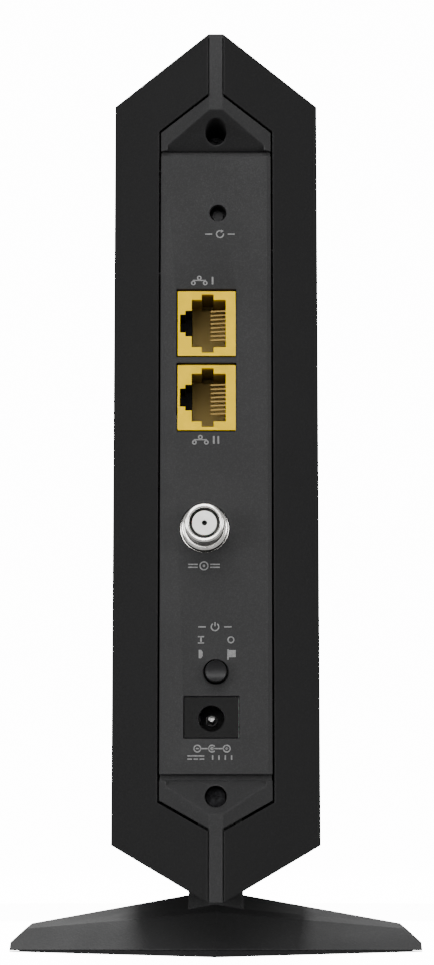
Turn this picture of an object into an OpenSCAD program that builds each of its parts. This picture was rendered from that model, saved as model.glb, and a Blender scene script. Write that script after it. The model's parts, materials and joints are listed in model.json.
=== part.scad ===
// Upright cable modem router on a wing-shaped desk stand.
// +Z is up, the lamp strip faces -Y and the connector panel faces +Y.
// The origin is on the desk, under the middle of the overall box. Millimetres.

/* [Body] */
// Width of the body across its two side covers
body_w = 50.4; // [49:0.1:54]
// Height of the body from its bottom ridge to its top ridge
body_h = 209.7; // [208:0.1:214]
// Height of the bottom ridge above the desk
body_z = 13.6; // [13.2:0.1:14]
// How far back the rear ridge stands from the origin
ridge_rear = 61.6; // [61:0.1:62.5]
// How far forward the front ridge stands from the origin
ridge_front = 64; // [63:0.1:66]
// Width of the pale centre strip along the ridges
spine_w = 3.2; // [2.8:0.1:3.4]
// Fall of the rear and front faces, in depth per unit of width
plan_slope = 0.74; // [0.7:0.01:0.78]
// Fall of the roof and the bottom, in height per unit of width
roof_slope = 0.5665; // [0.54:0.005:0.6]
// Wall thickness of the covers
wall = 2; // [1.8:0.1:2.2]
// Narrow gap between neighbouring case pieces
seam = 0.25; // [0.15:0.05:0.3]

/* [Connector panel] */
// Depth position of the panel's outer face
panel_y = 54; // [53.8:0.1:54.2]
// Width of the panel
panel_w = 27; // [26.6:0.1:27.4]
// Height of the panel's lower edge above the desk
panel_z0 = 43.5; // [43:0.1:44]
// Height of the panel's upper edge above the desk
panel_z1 = 194.8; // [194:0.1:195]
// Thickness of the panel
panel_t = 2; // [1.8:0.1:2]

/* [Connectors] */
// Height of the reset hole
reset_z = 180.3; // [178:0.1:182]
// Height of the upper network jack
lan1_z = 152.6; // [152:0.1:156]
// Distance between the two network jacks
lan_pitch = 18.3; // [17:0.1:19]
// Height of the coaxial connector
coax_z = 102.5; // [98:0.1:108]
// Sideways position of the coaxial connector
coax_x = 2.7; // [2:0.1:3]
// Outer diameter of the coaxial thread (3/8 inch, 32 threads per inch)
coax_d = 9.5; // [9.4:0.05:9.6]
// Height of the power button
power_z = 67.8; // [67:0.1:72]
// Height of the power inlet
dc_z = 57; // [56:0.1:58]
// Inner diameter of the power inlet's barrel
dc_d = 6.2; // [5.8:0.1:6.4]
// Diameter of the power inlet's centre pin
dc_pin_d = 2.1; // [1.9:0.1:2.5]

/* [Buttons] */
// Diameter of the power button
power_d = 5.2; // [5:0.1:5.6]
// Travel of the power button
power_travel = 2.2; // [1.5:0.1:2.4]
// Diameter of the two front buttons
front_button_d = 5.2; // [4.8:0.1:5.4]
// Height of the upper front button
sync_z = 66; // [64:0.5:68]
// Height of the lower front button
radio_z = 54; // [52:0.5:56]

/* [Stand] */
// Half of the stand's width, to the wing tips
tip_x = 52; // [51:0.1:54]
// Half of the stand's depth, to its front and rear points
point_y = 43.6; // [42:0.1:46]
// Height of the stand's ridge at its middle
stand_ridge = 15.4; // [15.2:0.1:15.6]
// Width of the neck that carries the body
neck_w = 13.6; // [13:0.1:14.4]
// Length of the neck along the body
neck_l = 40; // [36:1:44]

/* [Hidden] */
$fn = 48;
eps = 0.05;

// Colours
cover_c = [0.14, 0.14, 0.145];
frame_c = [0.25, 0.25, 0.255];
lan_c = [0.93, 0.8, 0.25];
gold_c = [0.83, 0.65, 0.3];
metal_c = [0.75, 0.75, 0.74];
black_c = [0.05, 0.05, 0.055];
board_c = [0.06, 0.3, 0.17];

// Body, worked out
half_w = body_w / 2;
spine = spine_w / 2;
half_h = body_h / 2;
mid_z = body_z + half_h;
half_d = (ridge_rear + ridge_front) / 2;
mid_y = (ridge_rear - ridge_front) / 2;
ridge_flat = spine + 0.3;
groove = 0.5;

// V brackets at both ends of the panel
panel_x = panel_w / 2;
panel_mid = (panel_z0 + panel_z1) / 2;
fork = 88.5;
band = 85.1;
ramp = plan_slope / 0.66;
bracket_gap = 1.4;
bracket_lip = 1.7;
fork_seam = 0.45;
panel_edge = [1, 0.5];
button_gap = 0.4;
hole_off = 80.9;
hole_r = 2.6;
hole_z = [panel_mid - hole_off, panel_mid + hole_off];
boss_r = 3.9;
boss_y = 40;
tab_t = 2;
arm_y = 30;

// Front strip
front_x = 4.6;
front_y = -ridge_front + plan_slope * (front_x - spine);
front_t = 2;
window_z = [78, 190];
front_z = [42, 198];

// Board: a vertical plate, parts on its +X face
face_x = -4.8;
board_t = 1.6;
board_y = [-50, 50];
board_z = [26, 210];
notch_y = 28;
notch_z = [48, 189];
post_y = [-42, 20];
post_z = [60, 176];
press_posts = [[-42, 40], [-42, 128], [34, 80], [34, 168]];

// Network jacks
lan_x = 2.3;
lan_w = 14;
lan_h = 16;
lan_front = panel_y + 0.3;
lan_z = [lan1_z, lan1_z - lan_pitch];
pin_pitch = 1.02;

// Coaxial connector
coax_tip = 64;

// Power button
switch_face = 46.8;
cap_back = switch_face + power_travel + 0.4;
button_tip = 57.4;
scoop_r = 3.3;
scoop_depth = 1.2;

// Power inlet
dc_x = 1.05;
dc_w = 12.9;
dc_h = 9.6;

// Front lamps
lamp_z = [for (i = [0:6]) window_z[0] + 14 + 14 * i];

// Stand: upper facets fall gently from the ridge to a crease, lower facets fall to the rim
stand_wall = 2;
rim_z = 1.9;
tip_y = 12;
tip_top = 2.5;
knee_x = 47.2;
crease_y = 30;
upper_fall = [0.178, 0.158];
crease_z = stand_ridge - upper_fall.y * crease_y;
lower_fall_y = (crease_z - rim_z) / (point_y - crease_y);
lower_top = crease_z + lower_fall_y * crease_y;
lower_fall_x = (lower_top - lower_fall_y * tip_y - rim_z * tip_y / point_y) / tip_x;
knee_z = stand_ridge - upper_fall.x * knee_x;
end_fall = (knee_z - tip_top) / (tip_x - knee_x);
screw_y = 12;

// ---------------------------------------------------------------- helpers

// Points of a hexagon with blunt ends: w half width, l half length, r half of the
// flat at each end, k fall per unit of width
function hexagon(w, l, r, k) = let (e = l - k * (w - r))
    [[r, l], [w, e], [w, -e], [r, -l], [-r, -l], [-w, -e], [-w, e], [-r, l]];

// The same flat after every side has moved inward by t
function inner_flat(r, k, t) = r - t * (sqrt(1 + k * k) - 1) / k;

// The body's outer form with every face moved inward by t
module body_form(t) {
    intersection() {
        translate([0, mid_y, 0])
            linear_extrude(body_z + body_h + 10)
                polygon(hexagon(half_w - t, half_d - t,
                    inner_flat(spine, plan_slope, t), plan_slope));
        translate([0, 80, mid_z])
            rotate([90, 0, 0])
                linear_extrude(160)
                    polygon(hexagon(half_w - t, half_h - t,
                        inner_flat(ridge_flat, roof_slope, t), roof_slope));
    }
}

// A box from one corner to the opposite one
module box(a, b) {
    translate(a)
        cube(b - a);
}

// A cylinder along Y from y0 to y1
module rod_y(x, z, y0, y1, r) {
    translate([x, y0, z])
        rotate([-90, 0, 0])
            cylinder(h = y1 - y0, r = r);
}

// A cylinder along X from x0 to x1
module rod_x(y, z, x0, x1, r) {
    translate([x0, y, z])
        rotate([0, 90, 0])
            cylinder(h = x1 - x0, r = r);
}

// Turns a drawing of (Y, Z) points into a slab from x0 to x1
module side_slab(x0, x1) {
    translate([x0, 0, 0])
        rotate([90, 0, 90])
            linear_extrude(x1 - x0)
                children();
}

// Turns a drawing of (X, Z) points into a slab from y0 to y1
module rear_slab(y0, y1) {
    translate([0, y1, 0])
        rotate([90, 0, 0])
            linear_extrude(y1 - y0)
                children();
}

// Outline of both V brackets and the panel between them, grown by g
module fork_outline(g) {
    x = panel_x + g;
    a = fork + g;
    c = fork - roof_slope * (panel_x - spine) + g;
    translate([0, panel_mid])
        polygon([[spine + g, a], [x, c], [x, -c], [spine + g, -a],
            [-spine - g, -a], [-x, -c], [-x, c], [-spine - g, a]]);
}

// Everything behind the brackets' sloping inner faces, sunk by d, as a (Y, Z) drawing
module ramp_side(d) {
    run = ridge_rear + 20;
    y1 = ridge_rear + 20 * ramp;
    translate([0, panel_mid])
        polygon([
            [-run, band + 60], [y1 - d, band + 60], [y1 - d, band + 20],
            [ridge_rear - ramp * 20 - d, band - 20],
            [ridge_rear - ramp * 20 - d, -band + 20],
            [y1 - d, -band - 20], [y1 - d, -band - 60], [-run, -band - 60]]);
}

// Screw with a pan head at the origin, its shank along -Y
module screw_y(l, head_r, shank_r) {
    difference() {
        rod_y(0, 0, 0, 1.6, head_r);
        for (a = [0, 90])
            rotate([0, a, 0])
                box([-1.3, 0.8, -0.25], [1.3, 2, 0.25]);
    }
    rod_y(0, 0, -l, eps, shank_r);
}

// ---------------------------------------------------------------- case

// Slanted air slots in the flat side of a cover, in two fields
module side_slots(side) {
    for (z0 = [44, 158], i = [0:6], s = [-1, 1])
        translate([side * half_w, mid_y + s * 17, z0 + 5 * i])
            rotate([-s * 28, 0, 0])
                cube([wall * 4, 26, 1.8], center = true);
}

// Air slots in the roof slope of a cover
module roof_slots(side) {
    for (i = [0:8])
        translate([side * half_w * 0.56, mid_y - 36 + 9 * i, mid_z + half_h - 8])
            cube([16, 2, 30], center = true);
}

// Thin shell of one side with its hollow, before its own features
module cover_shell(side) {
    difference() {
        body_form(0);
        body_form(wall);
        box([side > 0 ? -40 : -spine - seam, -90, 0], [side > 0 ? spine + seam : 40, 90, 240]);
        rear_slab(40, 90)
            fork_outline(fork_seam);
        box([-front_x - seam, -90, front_z[0] - seam],
            [front_x + seam, -40, front_z[1] + seam]);
        side_slots(side);
        roof_slots(side);
    }
}

module left_cover() {
    color(cover_c) {
        cover_shell(1);
        for (z = hole_z)
            difference() {
                box([-boss_r, boss_y - tab_t, z - 4], [half_w - wall + eps, boss_y, z + 4]);
                rod_y(0, z, 30, 60, 1.6);
            }
        // Posts that press the board onto the other cover
        for (p = press_posts)
            rod_x(p.x, p.y, face_x, half_w - wall + eps, 2);
    }
}

module right_cover() {
    color(cover_c) {
        difference() {
            cover_shell(-1);
            rod_x(-20, 118, -half_w - 1, -half_w + 0.25, 12);
        }
        for (z = hole_z)
            difference() {
                box([-half_w + wall - eps, arm_y, z - 4], [boss_r, boss_y - tab_t, z + 4]);
                rod_y(0, z, 30, 60, 1.3);
            }
        for (y = post_y, z = post_z)
            difference() {
                rod_x(y, z, -half_w + wall - eps, face_x - board_t, 3.2);
                rod_x(y, z, -16, 0, 1.3);
            }
    }
}

// Strip along the ridges, with a step that the covers butt against, so that a shallow
// groove shows on both sides of it, and a flange that laps inside both covers
module ridge_ring() {
    intersection() {
        difference() {
            body_form(0);
            body_form(wall + 0.2);
        }
        box([-spine, -90, 0], [spine, 90, 240]);
    }
    intersection() {
        difference() {
            body_form(groove);
            body_form(wall + 0.2);
        }
        box([-spine - seam, -90, 0], [spine + seam, 90, 240]);
    }
    // The roof's ridge is flush over the full width
    intersection() {
        body_form(0);
        box([-spine - seam, -90, body_z + body_h - 2 * groove], [spine + seam, 90, 240]);
    }
    intersection() {
        difference() {
            body_form(wall + 0.1);
            body_form(wall + 1.6);
        }
        box([-4.3, -90, 0], [4.3, 90, 240]);
    }
}

// Pillar inside the bottom ridge that takes a stand screw
module screw_pillar(y) {
    intersection() {
        translate([0, y, body_z + wall])
            cylinder(h = 9, r = 3.4);
        body_form(wall + 0.1);
    }
}

// Bracket shells at both ends of the panel
module brackets() {
    intersection() {
        difference() {
            intersection() {
                body_form(0);
                union() {
                    side_slab(-30, 30)
                        ramp_side(0);
                    // Lips that run on down both sides of the sloping face
                    for (s = [-1, 1])
                        translate([s * (panel_x - bracket_lip + 5), 60, panel_mid])
                            cube([10, 60, 200], center = true);
                }
            }
            intersection() {
                body_form(wall + 0.2);
                side_slab(-30, 30)
                    ramp_side(3);
            }
        }
        rear_slab(46, 90)
            fork_outline(0);
        union()
            for (s = [-1, 1])
                translate([0, 60, panel_mid + s * (panel_mid - panel_z0 + bracket_gap + 30)])
                    cube([60, 60, 60], center = true);
    }
}

module rear_frame() {
    color(frame_c) {
        difference() {
            union() {
                intersection() {
                    ridge_ring();
                    box([-20, seam / 2, 0], [20, 90, 240]);
                    difference() {
                        box([-20, -1, 0], [20, 90, 240]);
                        rear_slab(40, 91)
                            fork_outline(-0.6);
                    }
                }
                brackets();
                // Bars that close the gaps above and below the panel
                for (z = [panel_z0, panel_z1])
                    box([-12, 49.4, z - 3.6], [12, panel_y - panel_t - 0.1, z + 3.6]);
                // Rails behind the panel's long edges
                for (s = [-1, 1])
                    box([s * 12.3 - 1.1, 49.4, panel_z0 - 4],
                        [s * 12.3 + 1.1, panel_y - panel_t - 0.1, panel_z1 + 4]);
                // Tubes that lead to the case screws
                intersection() {
                    union()
                        for (z = hole_z)
                            rod_y(0, z, boss_y, 60, boss_r);
                    side_slab(-30, 30)
                        ramp_side(0.5);
                }
                // Pillar for the stand's rear screw
                screw_pillar(screw_y);
            }
            // Clear space behind the panel
            box([-11.2, 40, panel_z0 + 1.5], [11.2, panel_y - panel_t, panel_z1 - 1.5]);
            box([-30, panel_y - panel_t, panel_z0 - 0.4], [30, 90, panel_z1 + 0.4]);
            for (z = hole_z) {
                rod_y(0, z, boss_y + tab_t, 90, hole_r);
                rod_y(0, z, 40, 90, 1.4);
            }
            translate([0, screw_y, 0])
                cylinder(h = body_z + wall + 7, r = 1.3);
        }
    }
}

module io_panel() {
    color(frame_c)
        difference() {
            translate([0, 0, panel_z0])
                linear_extrude(panel_z1 - panel_z0)
                    polygon([[-panel_x, panel_y - panel_t], [-panel_x, panel_y - panel_edge.y],
                        [-panel_x + panel_edge.x, panel_y], [panel_x - panel_edge.x, panel_y],
                        [panel_x, panel_y - panel_edge.y], [panel_x, panel_y - panel_t]]);
            rod_y(-0.5, reset_z, 50, 60, 2.05);
            for (z = lan_z)
                box([lan_x - lan_w / 2 - 0.25, 50, z - lan_h / 2 - 0.25],
                    [lan_x + lan_w / 2 + 0.25, 60, z + lan_h / 2 + 0.6]);
            rod_y(coax_x, coax_z, 50, 60, 5.9);
            rod_y(0, power_z, 50, 60, power_d / 2 + button_gap);
            box([dc_x - dc_w / 2 - 0.2, 50, dc_z - dc_h / 2 - 0.2],
                [dc_x + dc_w / 2 + 0.2, 60, dc_z + dc_h / 2 + 0.2]);
        }
}

module front_frame() {
    color(frame_c)
        difference() {
            union() {
                intersection() {
                    ridge_ring();
                    box([-20, -90, 0], [20, -seam / 2, 240]);
                }
                intersection() {
                    body_form(0);
                    box([-front_x, -90, front_z[0]], [front_x, front_y + 5, front_z[1]]);
                }
                screw_pillar(-screw_y);
            }
            // Flat that carries the lamp window and the buttons, with sloping ends
            side_slab(-20, 20)
                polygon([[-90, front_z[0] + 2], [-ridge_front, front_z[0] + 2],
                    [front_y, front_z[0] + 6], [front_y, front_z[1] - 6],
                    [-ridge_front, front_z[1] - 2], [-90, front_z[1] - 2]]);
            box([-front_x + 0.9, -70, window_z[0]],
                [front_x - 0.9, front_y + 1.5, window_z[1]]);
            box([-2.4, -70, window_z[0] + 5], [2.4, -40, window_z[1] - 5]);
            box([-10, front_y + front_t, front_z[0] + 3], [10, -40, front_z[1] - 3]);
            for (z = [sync_z, radio_z])
                rod_y(0, z, -70, -50, front_button_d / 2 + 0.3);
            translate([0, -screw_y, 0])
                cylinder(h = body_z + wall + 7, r = 1.3);
        }
}

module led_window() {
    color([0.03, 0.03, 0.035])
        box([-front_x + 1, front_y, window_z[0] + 0.1],
            [front_x - 1, front_y + 1.45, window_z[1] - 0.1]);
}

// Clear bar with one finger in front of each lamp
module light_pipe() {
    color([0.8, 0.85, 0.88]) {
        box([-2.2, front_y + 1.6, window_z[0] + 6], [2.2, front_y + 3.4, window_z[1] - 6]);
        for (z = lamp_z)
            translate([0, 0, z])
                linear_extrude(3, center = true)
                    polygon([[-2.2, front_y + 3], [2.2, front_y + 3],
                        [-2.5, -52], [-4.5, -52]]);
    }
}

module case_screws() {
    color(metal_c)
        for (z = hole_z)
            translate([0, boss_y + tab_t, z])
                screw_y(9, 2.3, 1.25);
}

// Blank type plate, sunk in the right cover
module rating_label() {
    color([0.78, 0.78, 0.76])
        rod_x(-20, 118, -half_w, -half_w + 0.25, 11.8);
}

// ---------------------------------------------------------------- stand

// Everything under the plane that is z0 high at the origin and falls by fx and fy
module under_plane(z0, fx, fy, t) {
    n = [fx, fy, 1];
    translate([0, 0, z0 - t * norm(n)])
        rotate([0, acos(1 / norm(n)), atan2(fy, fx)])
            translate([-90, -90, -180])
                cube(180);
}

// The wing's outer form with every face moved inward by t
module wing(t) {
    intersection() {
        translate([0, 0, -t])
            linear_extrude(20)
                polygon([[tip_x - t, tip_y - t], [0, point_y - 1.25 * t], [-tip_x + t, tip_y - t],
                    [-tip_x + t, -tip_y + t], [0, -point_y + 1.25 * t], [tip_x - t, -tip_y + t]]);
        intersection_for (sx = [-1, 1])
            under_plane(knee_z + end_fall * knee_x, sx * end_fall, 0, t);
        intersection_for (sx = [-1, 1], sy = [-1, 1])
            under_plane(stand_ridge, sx * upper_fall.x, sy * upper_fall.y, t);
        intersection_for (sx = [-1, 1], sy = [-1, 1])
            under_plane(lower_top, sx * lower_fall_x, sy * lower_fall_y, t);
    }
}

// Low space that the base plate and its rim take up
module base_space(g) {
    side_slab(-60, 60)
        polygon([[-60, -1], [-60, rim_z * 60 / point_y + g], [0, g], [60, rim_z * 60 / point_y + g],
            [60, -1]]);
}

module stand() {
    color(frame_c)
        difference() {
            union() {
                difference() {
                    union() {
                        wing(0);
                        box([-neck_w / 2, -neck_l / 2, 8], [neck_w / 2, neck_l / 2, body_z + 4]);
                    }
                    wing(stand_wall);
                    base_space(0.1);
                }
                // Screw pillars and stiffening ribs in the hollow
                intersection() {
                    union() {
                        for (y = [-screw_y, screw_y])
                            translate([0, y, 4.2])
                                cylinder(h = 10, r = 4.4);
                        for (x = [-30, -16, 16, 30])
                            box([x - 0.7, -30, 3], [x + 0.7, 30, 12]);
                    }
                    wing(0);
                }
            }
            body_form(-0.15);
            for (y = [-screw_y, screw_y]) {
                translate([0, y, 0])
                    cylinder(h = 20, r = 1.6);
                translate([0, y, 0])
                    cylinder(h = 8, r = 3);
            }
        }
}

// Dark base plate with the rim that shows below the wing
module stand_base() {
    color(black_c)
        difference() {
            union() {
                intersection() {
                    wing(0);
                    base_space(0);
                    box([-60, -60, 0.3], [60, 60, 4]);
                }
                intersection() {
                    wing(stand_wall + 0.2);
                    box([-60, -60, 0.3], [60, 60, 2.2]);
                }
            }
            for (y = [-screw_y, screw_y])
                translate([0, y, -1])
                    cylinder(h = 6, r = 3.3);
            for (x = [-34, 34])
                translate([x, 0, -1])
                    cylinder(h = 2.2, r = 5.2);
            for (y = [-31, 31])
                translate([0, y, -1])
                    cylinder(h = 2.2, r = 5.2);
        }
}

module stand_feet() {
    color([0.09, 0.09, 0.09]) {
        for (x = [-34, 34])
            translate([x, 0, 0])
                cylinder(h = 1.2, r = 5);
        for (y = [-31, 31])
            translate([0, y, 0])
                cylinder(h = 1.2, r = 5);
    }
}

module stand_screws() {
    color(metal_c)
        for (y = [-screw_y, screw_y])
            translate([0, y, 8])
                rotate([-90, 0, 0])
                    screw_y(12, 2.6, 1.25);
}

// ---------------------------------------------------------------- board

module main_board() {
    color(board_c)
        difference() {
            side_slab(face_x - board_t, face_x)
                polygon([[board_y[0], board_z[0]], [notch_y, board_z[0]],
                    [notch_y, notch_z[0]], [board_y[1], notch_z[0]],
                    [board_y[1], notch_z[1]], [notch_y, notch_z[1]],
                    [notch_y, board_z[1]], [board_y[0], board_z[1]]]);
            for (y = post_y, z = post_z)
                rod_x(y, z, -10, 0, 1.5);
        }
}

module board_screws() {
    color(metal_c)
        for (y = post_y, z = post_z)
            translate([face_x, y, z])
                rotate([0, 0, -90])
                    screw_y(7, 2.3, 1.25);
}

// Yellow network jack with its stepped plug opening
module lan_jack(z) {
    color(lan_c)
        difference() {
            union() {
                box([face_x, 37, z - lan_h / 2], [lan_x + lan_w / 2, lan_front, z + lan_h / 2]);
                // Flange behind the panel that closes the gap above the jack
                box([face_x, 46, z], [lan_x + lan_w / 2, panel_y - panel_t - 0.3, z + lan_h / 2 + 1.2]);
            }
            box([-2.4, 42.5, z - 5.85], [5.85, 60, z + 5.85]);
            box([5.8, 44, z - 3.15], [7.4, 60, z + 3.15]);
            box([7.3, 44, z - 2.2], [8.7, 60, z + 2.2]);
            for (s = [-1, 1])
                translate([2, 50, z + s * 6.4])
                    cube([2.9, 20, 1.6], center = true);
            for (i = [-3.5:3.5])
                translate([-3.2, 47, z + pin_pitch * i])
                    cube([2, 14, 0.55], center = true);
        }
}

// Eight sprung wires that reach across the jack
module lan_contacts(z) {
    color(gold_c)
        for (i = [-3.5:3.5])
            translate([0, 0, z + pin_pitch * i])
                linear_extrude(0.45, center = true)
                    polygon([[-4.1, 40.2], [-4.1, 52.2], [-2.4, 52.2], [1.3, 51.3], [1.2, 50.9],
                        [-2.4, 51.7], [-3.7, 51.7], [-3.7, 40.2]]);
}

module lan_transformers() {
    color([0.1, 0.1, 0.11])
        for (z = lan_z)
            box([face_x, 16, z - 8], [face_x + 5.5, 32, z + 8]);
}

module coax_shell() {
    color(metal_c)
        difference() {
            union() {
                box([face_x, 38, coax_z - 6.3], [coax_x + 6, 51.8, coax_z + 6.3]);
                rod_y(coax_x, coax_z, 51.7, 55.3, 5.65);
                rod_y(coax_x, coax_z, 55.2, coax_tip - 0.4, coax_d / 2);
                translate([coax_x, coax_tip - 0.4, coax_z])
                    rotate([-90, 0, 0])
                        cylinder(h = 0.4, r1 = coax_d / 2, r2 = coax_d / 2 - 0.4);
            }
            rod_y(coax_x, coax_z, 42, 70, 3.55);
        }
}

module coax_insulator() {
    color([0.93, 0.93, 0.9])
        difference() {
            rod_y(coax_x, coax_z, 42.1, coax_tip - 0.6, 3.5);
            rod_y(coax_x, coax_z, 48, 70, 0.7);
            rod_y(coax_x, coax_z, 42, 60, 1.05);
        }
}

// Split tube that grips the cable's centre wire
module coax_contact() {
    color(gold_c)
        difference() {
            rod_y(coax_x, coax_z, 42.2, 59.8, 1);
            rod_y(coax_x, coax_z, 46, 70, 0.5);
            translate([coax_x, 57, coax_z])
                cube([0.25, 6, 4], center = true);
        }
}

module dc_jack() {
    color(black_c)
        difference() {
            union() {
                box([dc_x - dc_w / 2, 50.2, dc_z - dc_h / 2],
                    [dc_x + dc_w / 2, panel_y + 0.1, dc_z + dc_h / 2]);
                box([face_x, 39, dc_z - dc_h / 2 + 0.4],
                    [dc_x + dc_w / 2 - 0.4, 50.3, dc_z + dc_h / 2 - 0.4]);
            }
            rod_y(dc_x, dc_z - 0.3, 43.5, 60, dc_d / 2);
            rod_y(dc_x, dc_z - 0.3, 37, 50, dc_pin_d / 2 + 0.35);
            box([dc_x + 2.5, 43.5, dc_z - 1.5], [dc_x + 4, 51, dc_z + 0.9]);
        }
}

module dc_pin() {
    color(metal_c)
        difference() {
            union() {
                rod_y(dc_x, dc_z - 0.3, 38, 43.6, dc_pin_d / 2 + 0.35);
                rod_y(dc_x, dc_z - 0.3, 43.5, 52.6, dc_pin_d / 2);
                translate([dc_x, 52.6, dc_z - 0.3])
                    rotate([-90, 0, 0])
                        cylinder(h = 0.5, r1 = dc_pin_d / 2, r2 = dc_pin_d / 2 - 0.35);
            }
            rod_y(dc_x, dc_z - 0.3, 50, 60, 0.4);
        }
}

module dc_spring() {
    color(metal_c)
        translate([dc_x, 0, dc_z - 0.3])
            linear_extrude(2, center = true)
                polygon([[3.85, 43.7], [3.85, 50.6], [3.5, 50.6], [2.6, 47.2], [3.45, 43.7]]);
}

// Latching push switch behind the power button
module power_switch() {
    color([0.13, 0.13, 0.14])
        difference() {
            box([face_x, 36, power_z - 4.25], [4.3, switch_face, power_z + 4.25]);
            box([-1.6, 38, power_z - 1.6], [1.6, 50, power_z + 1.6]);
        }
}

module power_plunger() {
    color([0.85, 0.85, 0.83])
        box([-1.3, 41, power_z - 1.3], [1.3, 52, power_z + 1.3]);
}

// Round cap whose end is scooped across for a fingertip
module power_button() {
    color(black_c)
        difference() {
            rod_y(0, power_z, cap_back, button_tip, power_d / 2);
            rod_x(button_tip + scoop_r - scoop_depth, power_z, -5, 5, scoop_r);
            box([-1.3, 40, power_z - 1.3], [1.3, 52, power_z + 1.3]);
        }
}

// Small right-angle switch; y is its front face and d points the way it is pushed from
module tact_switch(x, y, z, d) {
    color([0.16, 0.16, 0.17])
        difference() {
            box([face_x, d > 0 ? y - 3.6 : y, z - 3], [x + 2.6, d > 0 ? y : y + 3.6, z + 3]);
            rod_y(x, z, d > 0 ? y - 2.4 : y - 1, d > 0 ? y + 1 : y + 2.4, 1.5);
        }
}

module reset_switch() {
    tact_switch(-0.5, 48.4, reset_z, 1);
}

module reset_plunger() {
    color([0.8, 0.25, 0.15])
        rod_y(-0.5, reset_z, 46.6, 50.6, 1.3);
}

// Front button cap: a disc, a flange that holds it in and a stem
module front_button(z) {
    color(frame_c) {
        rod_y(0, z, front_y - 0.8, front_y + 3, front_button_d / 2);
        rod_y(0, z, front_y + front_t + 0.3, front_y + front_t + 1.2, front_button_d / 2 + 0.9);
        rod_y(0, z, front_y + 2.9, -53.4, 1.3);
    }
}

module front_plunger(z) {
    color([0.8, 0.25, 0.15])
        rod_y(0, z, -53.4, -48.4, 1.3);
}

module leds() {
    color([0.95, 0.95, 0.88])
        for (z = lamp_z)
            box([face_x, -51.6, z - 0.9], [face_x + 1.3, -48.6, z + 0.9]);
}

module modem_chip() {
    color([0.09, 0.09, 0.1])
        box([face_x, -25, 107], [face_x + 1.5, -2, 130]);
}

module thermal_pad() {
    color([0.6, 0.62, 0.7])
        box([face_x + 1.5, -24, 108], [face_x + 2, -3, 129]);
}

module heatsink() {
    color([0.62, 0.63, 0.65]) {
        difference() {
            box([face_x + 2, -36, 98], [face_x + 4.2, 9, 139]);
            for (p = [[-32.5, 101.5], [5.5, 135.5]])
                rod_x(p[0], p[1], -10, 10, 1.3);
        }
        for (i = [0:7])
            box([face_x + 4, -27 + 4 * i, 98], [face_x + 16, -25.8 + 4 * i, 139]);
    }
}

module heatsink_pins() {
    color([0.9, 0.9, 0.9])
        for (p = [[-32.5, 101.5], [5.5, 135.5]]) {
            rod_x(p[0], p[1], face_x, face_x + 4.3, 1.2);
            rod_x(p[0], p[1], face_x + 4.2, face_x + 5.2, 2.6);
        }
}

module memory_chips() {
    color([0.09, 0.09, 0.1])
        for (z = [84, 144])
            box([face_x, -24, z], [face_x + 1.2, -13, z + 8]);
}

module flash_chip() {
    color([0.09, 0.09, 0.1])
        box([face_x, 4, 84], [face_x + 1.2, 16, 92]);
}

module wifi_chips() {
    color([0.09, 0.09, 0.1])
        for (y = [-34, 2])
            box([face_x, y, 184], [face_x + 0.9, y + 9, 193]);
}

module wifi_shields() {
    color(metal_c)
        for (y = [-40, -4])
            difference() {
                box([face_x, y, 179], [face_x + 3.2, y + 22, 198]);
                box([face_x - 1, y + 0.4, 179.4], [face_x + 2.9, y + 21.6, 197.6]);
            }
}

module tuner_shield() {
    color(metal_c)
        difference() {
            box([face_x, 11, 95.5], [face_x + 3.6, 34, 119.5]);
            box([face_x - 1, 11.4, 95.9], [face_x + 3.3, 33.6, 119.1]);
            for (y = [16.5:6:30], z = [102, 107.5, 113])
                rod_x(y, z, face_x + 3, face_x + 5, 0.8);
        }
}

module capacitors() {
    color([0.12, 0.14, 0.3])
        for (p = [[30, 66, 4, 11], [30, 54, 4, 11], [18, 66, 3.1, 8], [4, 70, 3.1, 8], [-8, 70, 3.1, 8]])
            rod_x(p[0], p[1], face_x, face_x + p[3], p[2]);
}

module inductors() {
    color([0.22, 0.21, 0.2])
        for (y = [-20, -6, 8])
            box([face_x, y, 46], [face_x + 4, y + 7.5, 53.5]);
}

module crystals() {
    color(metal_c)
        for (p = [[-36, 146], [-8, 160]])
            box([face_x, p[0], p[1]], [face_x + 1, p[0] + 5, p[1] + 3.2]);
}

// Stamped antennas that stand on the board
module antennas() {
    color([0.8, 0.72, 0.45])
        for (y = [-46, -20, 6])
            translate([0, y, 200])
                difference() {
                    union() {
                        box([face_x, 0, 0], [face_x + 9, 0.4, 7]);
                        box([face_x + 8.6, 0, 0], [face_x + 9, 20, 7]);
                    }
                    box([face_x + 8, 4, 2.5], [face_x + 10, 17, 4]);
                    box([face_x - 1, -1, 1.5], [face_x + 5, 1, 5.5]);
                }
}

// Rows of small chip resistors and capacitors
module small_parts() {
    color([0.45, 0.38, 0.28])
        for (i = [0:8], j = [0:2])
            box([face_x, -44 + 2.6 * j, 70 + 6 * i], [face_x + 0.7, -43 + 2.6 * j, 71.8 + 6 * i]);
}

left_cover();
right_cover();
rear_frame();
front_frame();
io_panel();
led_window();
light_pipe();
case_screws();
stand();
stand_base();
stand_feet();
stand_screws();
rating_label();
main_board();
board_screws();
lan_jack(lan_z[0]);  // lan_jack_1
lan_jack(lan_z[1]);  // lan_jack_2
lan_contacts(lan_z[0]);  // lan_contacts_1
lan_contacts(lan_z[1]);  // lan_contacts_2
lan_transformers();
coax_shell();
coax_insulator();
coax_contact();
dc_jack();
dc_pin();
dc_spring();
power_switch();
power_plunger();
power_button();
reset_switch();
reset_plunger();
tact_switch(0, -50, sync_z, -1);  // sync_switch
front_plunger(sync_z);  // sync_plunger
front_button(sync_z);  // sync_button
tact_switch(0, -50, radio_z, -1);  // radio_switch
front_plunger(radio_z);  // radio_plunger
front_button(radio_z);  // radio_button
leds();
modem_chip();
thermal_pad();
heatsink();
heatsink_pins();
memory_chips();
flash_chip();
wifi_chips();
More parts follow.
